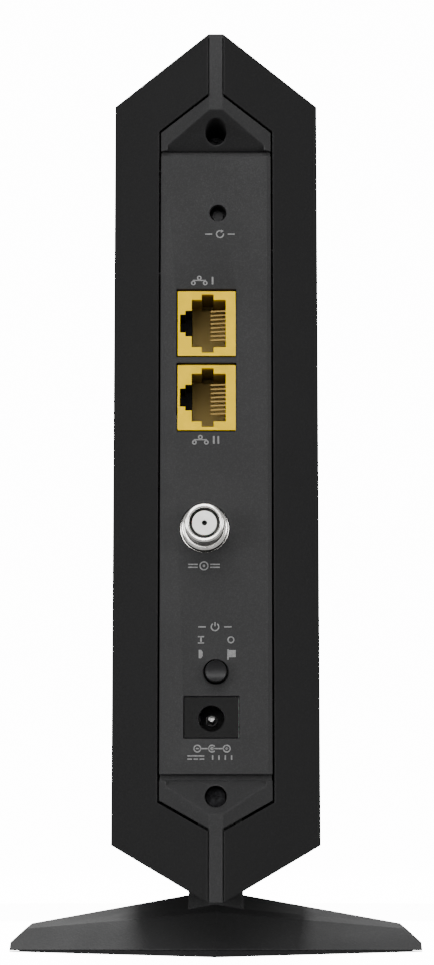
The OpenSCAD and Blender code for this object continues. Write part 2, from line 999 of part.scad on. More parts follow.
wifi_shields();
tuner_shield();
capacitors();
inductors();
crystals();
antennas();
small_parts();
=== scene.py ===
"""Looks of an upright cable modem router: case, connector panel, stand and what is inside.

Meshes are written in millimetres and scaled to metres when a piece is made. +Z is up and the
connector panel faces +Y.
"""

import json
import math

import bmesh
import bpy
from mathutils import Matrix, Vector

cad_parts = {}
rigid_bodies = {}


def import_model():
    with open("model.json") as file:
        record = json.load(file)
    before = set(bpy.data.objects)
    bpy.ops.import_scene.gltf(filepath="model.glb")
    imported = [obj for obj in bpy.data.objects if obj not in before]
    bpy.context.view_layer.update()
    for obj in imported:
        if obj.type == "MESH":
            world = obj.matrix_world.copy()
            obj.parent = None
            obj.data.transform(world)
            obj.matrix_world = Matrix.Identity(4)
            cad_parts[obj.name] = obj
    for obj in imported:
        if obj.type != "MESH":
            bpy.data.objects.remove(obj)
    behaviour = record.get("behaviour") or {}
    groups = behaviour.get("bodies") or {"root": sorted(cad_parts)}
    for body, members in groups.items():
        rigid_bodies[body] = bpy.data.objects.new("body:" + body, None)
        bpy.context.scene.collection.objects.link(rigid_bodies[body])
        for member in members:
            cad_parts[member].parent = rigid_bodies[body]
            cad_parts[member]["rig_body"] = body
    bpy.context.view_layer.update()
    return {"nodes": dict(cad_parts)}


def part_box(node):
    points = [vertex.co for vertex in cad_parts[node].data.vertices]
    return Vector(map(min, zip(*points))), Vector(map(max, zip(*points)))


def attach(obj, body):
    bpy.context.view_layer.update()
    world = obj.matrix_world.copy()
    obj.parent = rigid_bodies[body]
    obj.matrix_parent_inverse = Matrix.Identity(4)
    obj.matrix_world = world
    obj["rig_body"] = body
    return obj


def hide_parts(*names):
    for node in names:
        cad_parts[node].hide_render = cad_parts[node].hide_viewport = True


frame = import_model()

MM = 0.001
TAU = 2 * math.pi


def node_box(name):
    """A CAD node's box in millimetres: lowest corner, highest corner, middle."""
    lo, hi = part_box(name)
    return lo / MM, hi / MM, (lo + hi) / (2 * MM)


# ------------------------------------------------------------------ materials

class Finish:
    """One material, with short calls that add shader nodes and link them."""

    def __init__(self, name):
        self.material = bpy.data.materials.new(name)
        self.material.use_nodes = True
        self.tree = self.material.node_tree
        self.shader = self.tree.nodes["Principled BSDF"]
        self.place = self.add("ShaderNodeTexCoord").outputs["Object"]

    def add(self, kind, **settings):
        node = self.tree.nodes.new(kind)
        for key, value in settings.items():
            setattr(node, key, value)
        return node

    def link(self, source, target):
        self.tree.links.new(source, target)

    def stretched(self, scale, move=(0, 0, 0)):
        node = self.add("ShaderNodeMapping")
        node.inputs["Scale"].default_value = scale
        node.inputs["Location"].default_value = move
        self.link(self.place, node.inputs["Vector"])
        return node.outputs["Vector"]

    def noise(self, scale, detail=3.0, place=None):
        node = self.add("ShaderNodeTexNoise")
        node.inputs["Scale"].default_value = scale
        node.inputs["Detail"].default_value = detail
        self.link(place or self.place, node.inputs["Vector"])
        return node.outputs["Fac"]

    def pits(self, scale):
        node = self.add("ShaderNodeTexVoronoi", feature="F1")
        node.inputs["Scale"].default_value = scale
        self.link(self.place, node.inputs["Vector"])
        return node.outputs["Distance"]

    def remap(self, value, low, high, start=0.3, end=0.7):
        node = self.add("ShaderNodeMapRange")
        node.inputs["From Min"].default_value = start
        node.inputs["From Max"].default_value = end
        node.inputs["To Min"].default_value = low
        node.inputs["To Max"].default_value = high
        self.link(value, node.inputs["Value"])
        return node.outputs["Result"]

    def mix(self, factor, first, second):
        node = self.add("ShaderNodeMix", data_type="RGBA")
        self.link(factor, node.inputs["Factor"])
        for socket, value in ((node.inputs[6], first), (node.inputs[7], second)):
            if isinstance(value, tuple):
                socket.default_value = (*value, 1)
            else:
                self.link(value, socket)
        return node.outputs[2]

    def bump(self, height, distance, strength=1.0, before=None):
        node = self.add("ShaderNodeBump")
        node.inputs["Distance"].default_value = distance
        node.inputs["Strength"].default_value = strength
        self.link(height, node.inputs["Height"])
        if before is not None:
            self.link(before, node.inputs["Normal"])
        return node.outputs["Normal"]

    def set(self, **values):
        for key, value in values.items():
            socket = self.shader.inputs[key.replace("_", " ")]
            if isinstance(value, (int, float, tuple)):
                socket.default_value = value
            else:
                self.link(value, socket)
        return self.material


def shade(colour, factor):
    return tuple(min(1.0, c * factor) for c in colour)


def painted_edge_highlight(finish, base, colour):
    """Lightens the base a little along sharp edges, broken up by noise: a painted highlight of light
    catching the edges.
    """
    lift = 1.9
    bevel = finish.add("ShaderNodeBevel", samples=4)
    bevel.inputs["Radius"].default_value = 0.8 * MM
    geometry = finish.add("ShaderNodeNewGeometry")
    dot = finish.add("ShaderNodeVectorMath", operation="DOT_PRODUCT")
    finish.link(bevel.outputs["Normal"], dot.inputs[0])
    finish.link(geometry.outputs["Normal"], dot.inputs[1])
    edge = finish.remap(dot.outputs["Value"], 1, 0, 0.8, 1.0)
    broken = finish.add("ShaderNodeMath", operation="MULTIPLY")
    finish.link(edge, broken.inputs[0])
    finish.link(finish.remap(finish.noise(160), 0.2, 1), broken.inputs[1])
    return finish.mix(broken.outputs["Value"], base, shade(colour, lift))


def moulded_plastic(name, colour, rough=0.5, grain=3200, depth=0.00002, spread=0.1, edges=False):
    """Spark-textured moulding: fine pitted grain, faint flow marks, uneven sheen. With edges, sharp
    corners are shaded as if rounded, and a highlight is painted along them."""
    f = Finish(name)
    flow = f.noise(22, detail=2, place=f.stretched((1, 1, 0.35)))
    fine = f.noise(grain, detail=2)
    base = f.mix(f.remap(flow, 0, 1), shade(colour, 1 - spread), shade(colour, 1 + spread))
    base = f.mix(f.remap(fine, 0, 1, 0.45, 0.8), base, shade(colour, 1.5))
    rounding = None
    if edges:
        # Painted highlight: the colour is lightened along sharp edges.
        base = painted_edge_highlight(f, base, colour)
        bevel = f.add("ShaderNodeBevel", samples=4)
        bevel.inputs["Radius"].default_value = 0.5 * MM
        rounding = bevel.outputs["Normal"]
    normal = f.bump(f.pits(grain * 0.5), depth, 0.5, rounding)
    normal = f.bump(fine, depth, 0.6, normal)
    return f.set(
        Base_Color=base,
        Roughness=f.remap(f.noise(70), rough - 0.05, rough + 0.07),
        Normal=normal,
        IOR=1.47,
        Specular_IOR_Level=0.18,
    )


def gloss_plastic(name, colour, rough=0.1):
    """Polished moulding with faint ripples and handling haze."""
    f = Finish(name)
    ripple = f.noise(45, detail=2)
    return f.set(
        Base_Color=f.mix(f.remap(ripple, 0, 1), shade(colour, 0.85), shade(colour, 1.15)),
        Roughness=f.remap(f.noise(380, detail=5), rough * 0.6, rough * 1.8),
        Normal=f.bump(ripple, 0.00003, 0.25),
        Coat_Weight=0.4,
        Coat_Roughness=0.06,
    )


def bright_plastic(name, colour, rough=0.34):
    """Coloured connector plastic: moulding haze, faint depth of colour."""
    f = Finish(name)
    haze = f.noise(260, detail=3)
    return f.set(
        Base_Color=f.mix(f.remap(haze, 0, 1), shade(colour, 0.88), shade(colour, 1.05)),
        Roughness=f.remap(f.noise(900), rough - 0.06, rough + 0.1),
        Normal=f.bump(f.noise(2600, detail=2), 0.000012, 0.5),
        Subsurface_Weight=0.05,
        Subsurface_Scale=0.0006,
    )


def jack_plastic(name, colour, deep_shade, mouth, floor):
    """Bright connector plastic, darkened towards the bottom of its socket by painted shade."""
    f = Finish(name)
    haze = f.noise(260, detail=3)
    split = f.add("ShaderNodeSeparateXYZ")
    f.link(f.place, split.inputs["Vector"])
    # Painted shade: the colour darkens from the socket's mouth down to its floor.
    depth = f.remap(split.outputs["Y"], 1, 0, floor * MM, mouth * MM)
    face = f.mix(f.remap(haze, 0, 1), shade(colour, 0.9), shade(colour, 1.05))
    return f.set(
        Base_Color=f.mix(depth, face, deep_shade),
        Roughness=f.remap(f.noise(900), 0.5, 0.62),
        Normal=f.bump(f.noise(2600, detail=2), 0.000012, 0.5),
        Specular_IOR_Level=0.05,
    )


def drawn_metal(name, colour, rough=0.25, grain=1200, along=(1, 1, 1)):
    """Plated or rolled metal: fine lines one way, and uneven tarnish."""
    f = Finish(name)
    lines = f.noise(grain, detail=4, place=f.stretched(along))
    tarnish = f.noise(170, detail=4)
    return f.set(
        Base_Color=f.mix(f.remap(tarnish, 0, 1), shade(colour, 0.82), shade(colour, 1.05)),
        Metallic=1.0,
        Roughness=f.remap(lines, rough * 0.7, rough * 1.5),
        Normal=f.bump(lines, 0.000005, 0.6),
    )


def turned_metal(name, colour, centre, rough=0.16):
    """Plated metal turned on a lathe: fine rings round an axis along Y through (x, z)."""
    f = Finish(name)
    place = f.stretched((1, 1, 1), (-centre[0] * MM, 0, -centre[1] * MM))
    rings = f.add("ShaderNodeTexWave", wave_type="RINGS", rings_direction="Y")
    rings.inputs["Scale"].default_value = 1600
    rings.inputs["Distortion"].default_value = 2
    f.link(place, rings.inputs["Vector"])
    tarnish = f.noise(320, detail=4)
    return f.set(
        Base_Color=f.mix(f.remap(tarnish, 0, 1), shade(colour, 0.8), shade(colour, 1.05)),
        Metallic=1.0,
        Roughness=f.remap(f.noise(700), rough * 0.6, rough * 1.6),
        Normal=f.bump(rings.outputs["Fac"], 0.000003, 0.4),
    )


def printed_ink(name, colour):
    """Pad-printed ink: thin in places, so the dark plastic shows through."""
    f = Finish(name)
    cover = f.noise(2400, detail=3)
    return f.set(
        Base_Color=f.mix(f.remap(cover, 0, 1, 0.3, 0.6), shade(colour, 0.55), colour),
        Roughness=f.remap(cover, 0.45, 0.65),
        Normal=f.bump(cover, 0.00001, 0.4),
    )


def soft_rubber(name, colour):
    f = Finish(name)
    dust = f.noise(350, detail=5)
    return f.set(
        Base_Color=f.mix(f.remap(dust, 0, 1), colour, shade(colour, 1.6)),
        Roughness=f.remap(dust, 0.7, 0.9),
        Normal=f.bump(f.noise(1800), 0.00003, 0.6),
    )


def solder_mask(name):
    """Green lacquer over copper tracks that run along and across the board."""
    f = Finish(name)
    split = f.add("ShaderNodeSeparateXYZ")
    f.link(f.place, split.inputs["Vector"])
    flat = f.add("ShaderNodeCombineXYZ")
    f.link(split.outputs["Y"], flat.inputs["X"])
    f.link(split.outputs["Z"], flat.inputs["Y"])
    tracks = f.add("ShaderNodeTexBrick", offset=0.35, squash=0.6)
    tracks.inputs["Scale"].default_value = 170
    tracks.inputs["Mortar Size"].default_value = 0.07
    tracks.inputs["Brick Width"].default_value = 1.9
    tracks.inputs["Row Height"].default_value = 0.28
    f.link(flat.outputs["Vector"], tracks.inputs["Vector"])
    return f.set(
        Base_Color=f.mix(tracks.outputs["Fac"], (0.004, 0.045, 0.02), (0.008, 0.085, 0.038)),
        Roughness=f.remap(f.noise(500), 0.25, 0.4),
        Normal=f.bump(tracks.outputs["Fac"], 0.00003, 0.5),
        Coat_Weight=0.4,
    )


def clear_resin(name, colour):
    f = Finish(name)
    cloud = f.noise(900, detail=2)
    return f.set(
        Base_Color=f.mix(f.remap(cloud, 0, 1), shade(colour, 0.85), colour),
        Roughness=f.remap(cloud, 0.2, 0.35),
        Subsurface_Weight=0.2,
        Subsurface_Scale=0.001,
    )


def paper(name, colour):
    f = Finish(name)
    fibre = f.noise(1500, detail=5, place=f.stretched((1, 3, 1)))
    return f.set(
        Base_Color=f.mix(f.remap(fibre, 0, 1), shade(colour, 0.93), colour),
        Roughness=0.7,
        Normal=f.bump(fibre, 0.00001, 0.4),
    )


COVER = (0.0052, 0.0052, 0.0054)
FRAME = (0.0180, 0.0180, 0.0184)
PANEL_FACE = node_box("io_panel")[1].y
COAX = (node_box("coax_contact")[2].x, node_box("coax_contact")[2].z)

MATERIAL = {
    "cover": moulded_plastic("cover_plastic", COVER, rough=0.5, grain=2600, depth=0.00003, edges=True),
    "frame": moulded_plastic("frame_plastic", FRAME, rough=0.6, grain=3000, edges=True),
    "panel": moulded_plastic("panel_plastic", FRAME, rough=0.62, grain=3600, spread=0.06),
    "stand": moulded_plastic("stand_plastic", FRAME, rough=0.58, grain=2800, depth=0.00003, edges=True),
    "button": moulded_plastic("button_plastic", (0.012, 0.012, 0.0125), rough=0.36, grain=4500),
    "housing": moulded_plastic("housing_plastic", (0.001, 0.001, 0.001), rough=0.5, grain=4000),
    "base": moulded_plastic("base_plastic", (0.008, 0.008, 0.0085), rough=0.65),
    "window": gloss_plastic("window_acrylic", (0.003, 0.003, 0.0036)),
    "icon": printed_ink("window_icon_ink", (0.16, 0.16, 0.17)),
    "clear": clear_resin("light_pipe_acrylic", (0.75, 0.8, 0.82)),
    # Network jack plastic, with painted shade towards the bottom of each socket.
    "lan": jack_plastic("jack_plastic", (0.70, 0.46, 0.0), (0.25, 0.18, 0.06),
                        PANEL_FACE + 0.1, PANEL_FACE - 2.6),
    # Near-black plastic painted into the latch recess as shade.
    "latch": moulded_plastic("jack_latch_painted_shade", (0.004, 0.004, 0.004), rough=0.7),
    "white": bright_plastic("coax_plastic", (0.86, 0.86, 0.82), rough=0.28),
    "gold": drawn_metal("gold_plate", (0.95, 0.7, 0.34), rough=0.3, grain=2500, along=(1, 0.2, 1)),
    "contact": drawn_metal("contact_gold", (0.20, 0.13, 0.04), rough=0.35, grain=2500,
                           along=(0.2, 1, 1)),
    "nickel": turned_metal("nickel_plate", (0.93, 0.91, 0.87), COAX),
    # Near-black nickel: painted shade in the coax mouth and the insulator's recess.
    "nickel_shade": turned_metal("nickel_plate_painted_shade", (0.05, 0.05, 0.048), COAX, rough=0.4),
    "tin": drawn_metal("tinned_steel", (0.45, 0.45, 0.44), rough=0.3, grain=900, along=(1, 6, 1)),
    "zinc": drawn_metal("zinc_screw", (0.55, 0.55, 0.56), rough=0.3),
    "black_screw": drawn_metal("black_oxide_screw", (0.03, 0.03, 0.032), rough=0.4),
    "aluminium": drawn_metal("sink_aluminium", (0.6, 0.61, 0.63), rough=0.35, along=(1, 8, 0.3)),
    "ink": printed_ink("panel_ink", (0.16, 0.16, 0.16)),
    "rubber": soft_rubber("foot_rubber", (0.012, 0.012, 0.012)),
    "board": solder_mask("solder_mask"),
    "chip": moulded_plastic("chip_epoxy", (0.016, 0.016, 0.018), rough=0.45, grain=5000),
    "switch": moulded_plastic("switch_plastic", (0.02, 0.02, 0.022), rough=0.4, grain=4200),
    "red": bright_plastic("red_plunger_plastic", (0.35, 0.06, 0.03)),
    "dark_plunger": moulded_plastic("plunger_plastic", (0.01, 0.01, 0.011), rough=0.4, grain=4500),
    "pale": bright_plastic("pale_plastic", (0.7, 0.7, 0.66)),
    "pad": soft_rubber("thermal_pad_silicone", (0.3, 0.33, 0.42)),
    "sleeve": gloss_plastic("capacitor_sleeve", (0.012, 0.016, 0.07), rough=0.25),
    "ceramic": bright_plastic("chip_ceramic", (0.32, 0.23, 0.14), rough=0.5),
    "paper": paper("label_paper", (0.6, 0.6, 0.57)),
    "lamp": clear_resin("lamp_resin", (0.8, 0.8, 0.7)),
}

PAINTED = {
    "zinc": ["stand_screws", "board_screws"],
    "black_screw": ["case_screws"],
    "cover": ["left_cover", "right_cover"],
    "housing": ["dc_jack"],
    "paper": ["rating_label"],
    "clear": ["light_pipe"],
    "board": ["main_board"],
    "gold": ["coax_contact", "antennas"],
    "tin": ["dc_spring", "wifi_shields", "tuner_shield", "crystals"],
    "switch": ["power_switch", "reset_switch", "sync_switch", "radio_switch"],
    "pale": ["power_plunger", "heatsink_pins"],
    "dark_plunger": ["reset_plunger"],
    "red": ["sync_plunger", "radio_plunger"],
    "lamp": ["leds"],
    "chip": ["modem_chip", "memory_chips", "flash_chip", "wifi_chips", "lan_transformers", "inductors"],
    "pad": ["thermal_pad"],
    "aluminium": ["heatsink"],
    "sleeve": ["capacitors"],
    "ceramic": ["small_parts"],
}


def paint(obj, material):
    obj.data.materials.clear()
    obj.data.materials.append(MATERIAL[material])


for material_name, node_names in PAINTED.items():
    for node_name in node_names:
        paint(frame["nodes"][node_name], material_name)


# ------------------------------------------------------------------ mesh tools


def add_piece(name, bm, material, node, angle=35, stands_for=False):
    """Makes a piece from a bmesh in millimetres; it rides with the node's body."""
    bmesh.ops.recalc_face_normals(bm, faces=bm.faces)
    mesh = bpy.data.meshes.new(name)
    bm.to_mesh(mesh)
    bm.free()
    mesh.transform(Matrix.Scale(MM, 4))
    mesh.shade_smooth()
    mesh.set_sharp_from_angle(angle=math.radians(angle))
    obj = bpy.data.objects.new(name, mesh)
    bpy.context.scene.collection.objects.link(obj)
    paint(obj, material)
    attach(obj, frame["nodes"][node]["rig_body"])
    if stands_for:
        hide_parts(node)
    return obj


def round_edges(obj, radius, segments=3, angle=30):
    """Rounds the piece's sharp edges for good, with an applied bevel."""
    bevel = obj.modifiers.new("rounding", "BEVEL")
    bevel.width = radius * MM
    bevel.segments = segments
    bevel.limit_method = "ANGLE"
    bevel.angle_limit = math.radians(angle)
    bevel.use_clamp_overlap = True
    bevel.miter_outer = "MITER_ARC"
    bevel.harden_normals = True
    graph = bpy.context.evaluated_depsgraph_get()
    rounded_mesh = bpy.data.meshes.new_from_object(obj.evaluated_get(graph))
    obj.modifiers.clear()
    obj.data = rounded_mesh
    return obj


def rounded_node(node, material, radius=0.3, segments=3, angle=30):
    """A copy of a CAD node with rounded edges, which then stands for the node.

    The CAD's triangles are first joined into the flat faces that they came from.
    """
    weld, flat = 0.002, math.radians(1.5)
    bm = bmesh.new()
    bm.from_mesh(frame["nodes"][node].data)
    bmesh.ops.scale(bm, vec=(1 / MM,) * 3, verts=bm.verts)
    bmesh.ops.remove_doubles(bm, verts=bm.verts, dist=weld)
    bmesh.ops.dissolve_limit(bm, angle_limit=flat, verts=bm.verts, edges=bm.edges)
    obj = add_piece(node + "_shell", bm, material, node, stands_for=True)
    return round_edges(obj, radius, segments, angle)


def ring(bm, radius, y, centre, steps):
    """Vertices of a circle across the Y axis, or its one middle point."""
    if radius < 1e-6:
        return [bm.verts.new((centre[0], y, centre[1]))]
    return [
        bm.verts.new((centre[0] + radius * math.cos(TAU * i / steps), y,
                      centre[1] + radius * math.sin(TAU * i / steps)))
        for i in range(steps)
    ]


def join_rings(bm, rings):
    """Faces between each ring and the next; a ring of one vertex closes the form."""
    for low, high in zip(rings, rings[1:]):
        steps = max(len(low), len(high))
        for i in range(steps):
            j = (i + 1) % steps
            if len(low) == 1:
                bm.faces.new((low[0], high[i], high[j]))
            elif len(high) == 1:
                bm.faces.new((low[i], low[j], high[0]))
            else:
                bm.faces.new((low[i], low[j], high[j], high[i]))


def lathe(bm, profile, centre, steps=64):
    """Spins (radius, y) points round the Y axis through centre = (x, z)."""
    join_rings(bm, [ring(bm, radius, y, centre, steps) for radius, y in profile])


def box(bm, lo, hi):
    """A box between two opposite corners."""
    corners = [
        bm.verts.new((x, y, z))
        for x in (lo[0], hi[0]) for y in (lo[1], hi[1]) for z in (lo[2], hi[2])
    ]
    for face in ((0, 1, 3, 2), (4, 6, 7, 5), (0, 4, 5, 1), (2, 3, 7, 6), (0, 2, 6, 4), (1, 5, 7, 3)):
        bm.faces.new([corners[i] for i in face])


# ------------------------------------------------------------------ case and stand

def case():
    """Frames, panel, window, stand and front buttons with rounded edges."""
    for strip in ("rear_frame", "front_frame"):
        rounded_node(strip, "frame", 0.22)
    rounded_node("io_panel", "panel", 0.15, segments=2)
    rounded_node("led_window", "window", 0.3)
    rounded_node("stand", "stand", 0.6, angle=9)
    rounded_node("stand_base", "base", 0.15)
    rounded_node("stand_feet", "rubber", 0.3)
    for button in ("sync_button", "radio_button"):
        rounded_node(button, "frame", 0.25)


# ------------------------------------------------------------------ connectors

def second_material(obj, material, chosen):
    """Gives the faces that chosen(middle, normal) picks, in millimetres, another material."""
    obj.data.materials.append(MATERIAL[material])
    index = len(obj.data.materials) - 1
    for face in obj.data.polygons:
        if chosen(face.center / MM, face.normal):
            face.material_index = index


def network_jacks():
    """Both jacks with their contacts; the stepped recess for the plug's latch is painted near black as
    shade.
    """
    latch_x = 5.82
    lip, skin = 0.4, 0.5
    for number in (1, 2):
        jack = rounded_node(f"lan_jack_{number}", "lan", 0.14, segments=2)
        face = node_box(f"lan_jack_{number}")[1]
        # Painted shade: the latch recess's faces take a near-black plastic.
        second_material(jack, "latch", lambda middle, _: (
            latch_x < middle.x < face.x - lip and middle.y < face.y - skin))
        rounded_node(f"lan_contacts_{number}", "contact", 0.06, segments=1)


def coax_barrel():
    """Barrel with a real 3/8 inch, 32 threads per inch thread, a turned collar and its can."""
    lo, hi, _ = node_box("coax_shell")
    tip = hi.y
    bore = 3.55
    rim_r = 3.62
    crest, root = 4.74, 4.5
    collar_r = 5.65
    collar_back, collar_front = 51.75, 55.3
    pitch = 25.4 / 32
    thread_start, thread_end = collar_front + 0.5, tip - 1.2
    steps = 96
    per_turn = 8
    bm = bmesh.new()

    mouth = [(bore, tip - 8), (bore, tip - 0.75), (rim_r, tip - 0.3), (rim_r + 0.06, tip - 0.1),
             (rim_r + 0.22, tip), (4.38, tip - 0.03), (4.6, tip - 0.16), (4.72, tip - 0.4),
             (crest, tip - 0.7), (crest, thread_end + 0.1), (root + 0.1, thread_end + 0.05)]
    rows = [ring(bm, r, y, COAX, steps) for r, y in mouth]

    count = round((thread_end - thread_start) / pitch * per_turn)
    for k in range(count + 1):
        y = thread_end - k * pitch / per_turn
        fade = min(1, k / per_turn, (count - k) / per_turn)
        row = []
        for i in range(steps):
            turn = i / steps
            saw = (y / pitch - turn) % 1
            # A V-shaped groove, cut off flat at the crest and at the root
            height = min(1, max(0, 2.6 * (0.5 - abs(saw - 0.5)) - 0.15))
            r = root + (crest - root) * height * fade
            x = COAX[0] + r * math.cos(TAU * turn)
            z = COAX[1] + r * math.sin(TAU * turn)
            row.append(bm.verts.new((x, y, z)))
        rows.append(row)

    collar = [(root + 0.02, thread_start - 0.1), (root + 0.02, collar_front),
              (collar_r - 0.5, collar_front), (collar_r - 0.16, collar_front - 0.12),
              (collar_r, collar_front - 0.5), (collar_r, collar_back), (bore, collar_back)]
    rows += [ring(bm, r, y, COAX, steps) for r, y in collar]
    join_rings(bm, rows)
    box(bm, lo, (hi.x, collar_back + 0.05, hi.z))
    barrel = add_piece("coax_threaded_barrel", bm, "nickel", "coax_shell", angle=50, stands_for=True)
    # Painted shade: the turned-down ring inside the barrel's mouth is near black.
    second_material(barrel, "nickel_shade", lambda middle, normal: (
        tip - 0.9 < middle.y < tip and normal.y > 0.05
        and math.hypot(middle.x - COAX[0], middle.z - COAX[1]) < rim_r))


def coax_insulator():
    """White dielectric with a round hole. Its edge is turned down, and the recess round it and
    the hole are painted dark as shade."""
    lo, hi, _ = node_box("coax_insulator")
    face = hi.y
    r = (hi.x - lo.x) / 2
    land = 2.95
    hole = 0.62
    bm = bmesh.new()
    lathe(bm, [(0, face - 3), (hole, face - 3), (hole, face - 0.12), (hole + 0.1, face),
               (land - 0.12, face), (land, face - 0.12), (land, face - 2.5), (r, face - 2.6),
               (r, lo.y), (0, lo.y)], COAX, 64)
    plug = add_piece("coax_dielectric", bm, "white", "coax_insulator", stands_for=True)
    # Painted shade: the recess and the hole take the near-black nickel.
    second_material(plug, "nickel_shade", lambda middle, _: (
        middle.y < face - 0.3 and math.hypot(middle.x - COAX[0], middle.z - COAX[1]) < r - 0.01))


def power_inlet():
    """Centre pin of the power inlet, with a rounded, drilled tip and a wider foot."""
    lo, hi, mid = node_box("dc_pin")
    tip = hi.y
    r = 1.05
    foot_r = 1.4
    hole = 0.45
    bm = bmesh.new()
    lathe(bm, [(0, tip - 2.5), (hole, tip - 2.5), (hole, tip - 0.2), (0.52, tip - 0.04), (0.62, tip),
               (0.74, tip - 0.1), (0.84, tip - 0.35), (0.94, tip - 1.1), (r, tip - 2), (r, tip - 9.4),
               (foot_r, tip - 9.5), (foot_r, lo.y), (0, lo.y)], (mid.x, mid.z), 40)
    add_piece("dc_pin_turned", bm, "tin", "dc_pin", stands_for=True)


def power_button():
    """Round push cap, its end scooped across so that a fingertip finds it."""
    lo, hi, mid = node_box("power_button")
    centre = (mid.x, mid.z)
    radius = (hi.x - lo.x) / 2
    scoop_r = 3.3
    edge = 0.18
    steps, rings = 64, 14
    bm = bmesh.new()

    def scooped(r, angle):
        """Height of the scooped end at this place, lowest along the middle."""
        z = r * math.sin(angle)
        rim = math.sqrt(scoop_r ** 2 - (radius - edge) ** 2)
        return hi.y - math.sqrt(scoop_r ** 2 - z ** 2) + rim - 0.02

    def wavy_ring(r, height):
        """A circle of this radius whose points stand at height(angle)."""
        angles = [TAU * i / steps for i in range(steps)]
        return [
            bm.verts.new((mid.x + r * math.cos(t), height(t), mid.z + r * math.sin(t)))
            for t in angles
        ]

    rows = [ring(bm, r, y, centre, steps)
            for r, y in ((0, lo.y), (radius - 0.2, lo.y), (radius, lo.y + 0.2))]
    for drop, inset in ((0.55, 0), (0.25, 0.03), (0.08, 0.1)):
        rows.append(wavy_ring(radius - inset, lambda t: scooped(radius - edge, t) - drop))
    for k in range(rings):
        r = (radius - edge) * (1 - k / rings)
        rows.append(wavy_ring(r, lambda t: scooped(r, t)))
    rows.append([bm.verts.new((mid.x, scooped(0, 0), mid.z))])
    join_rings(bm, rows)
    add_piece("power_button_cap", bm, "button", "power_button", stands_for=True)


# ------------------------------------------------------------------ printed marks

INK_DEPTH = 0.03


class Print:
    """Flat marks on one plane across Y, drawn in (x, z) round a middle point.

    side is +1 where the plane is looked at from +Y and -1 where it is looked at from -Y; a
    mark's own x runs to the reader's right in both.
    """

    def __init__(self, middle, y, side):
        self.bm = bmesh.new()
        self.middle = middle
        self.y = y
        self.side = side

    def place(self, point, lift):
        return (self.middle[0] - self.side * point[0], self.y + self.side * lift, self.middle[1] + point[1])

    def patch(self, points):
        """A thin raised patch with this outline."""
        top = [self.bm.verts.new(self.place(p, INK_DEPTH)) for p in points]
        foot = [self.bm.verts.new(self.place(p, -INK_DEPTH)) for p in points]
        self.bm.faces.new(top)
        self.bm.faces.new(list(reversed(foot)))
        for i in range(len(points)):
            j = (i + 1) % len(points)
            self.bm.faces.new((top[i], foot[i], foot[j], top[j]))

    def bar(self, start, end, width):
        along = Vector(end) - Vector(start)
        across = Vector((-along.y, along.x)).normalized() * width / 2
        a, b = Vector(start), Vector(end)
        self.patch([a + across, b + across, b - across, a - across])

    def arc(self, middle, radius, width, start=0, end=360):
        """A ring, or a part of one between two angles in degrees."""
        count = max(4, round(abs(end - start) / 12))
        angles = [math.radians(start + (end - start) * i / count) for i in range(count + 1)]
        for a, b in zip(angles, angles[1:]):
            self.patch([
                (middle[0] + r * math.cos(t), middle[1] + r * math.sin(t))
                for r, t in ((radius + width / 2, a), (radius + width / 2, b),
                             (radius - width / 2, b), (radius - width / 2, a))
            ])

    def dot(self, middle, radius):
        sides = 20
        turns = [TAU * i / sides for i in range(sides)]
        self.patch([(middle[0] + radius * math.cos(t), middle[1] + radius * math.sin(t)) for t in turns])

    def make(self, name, node, material="ink"):
        return add_piece(name, self.bm, material, node)


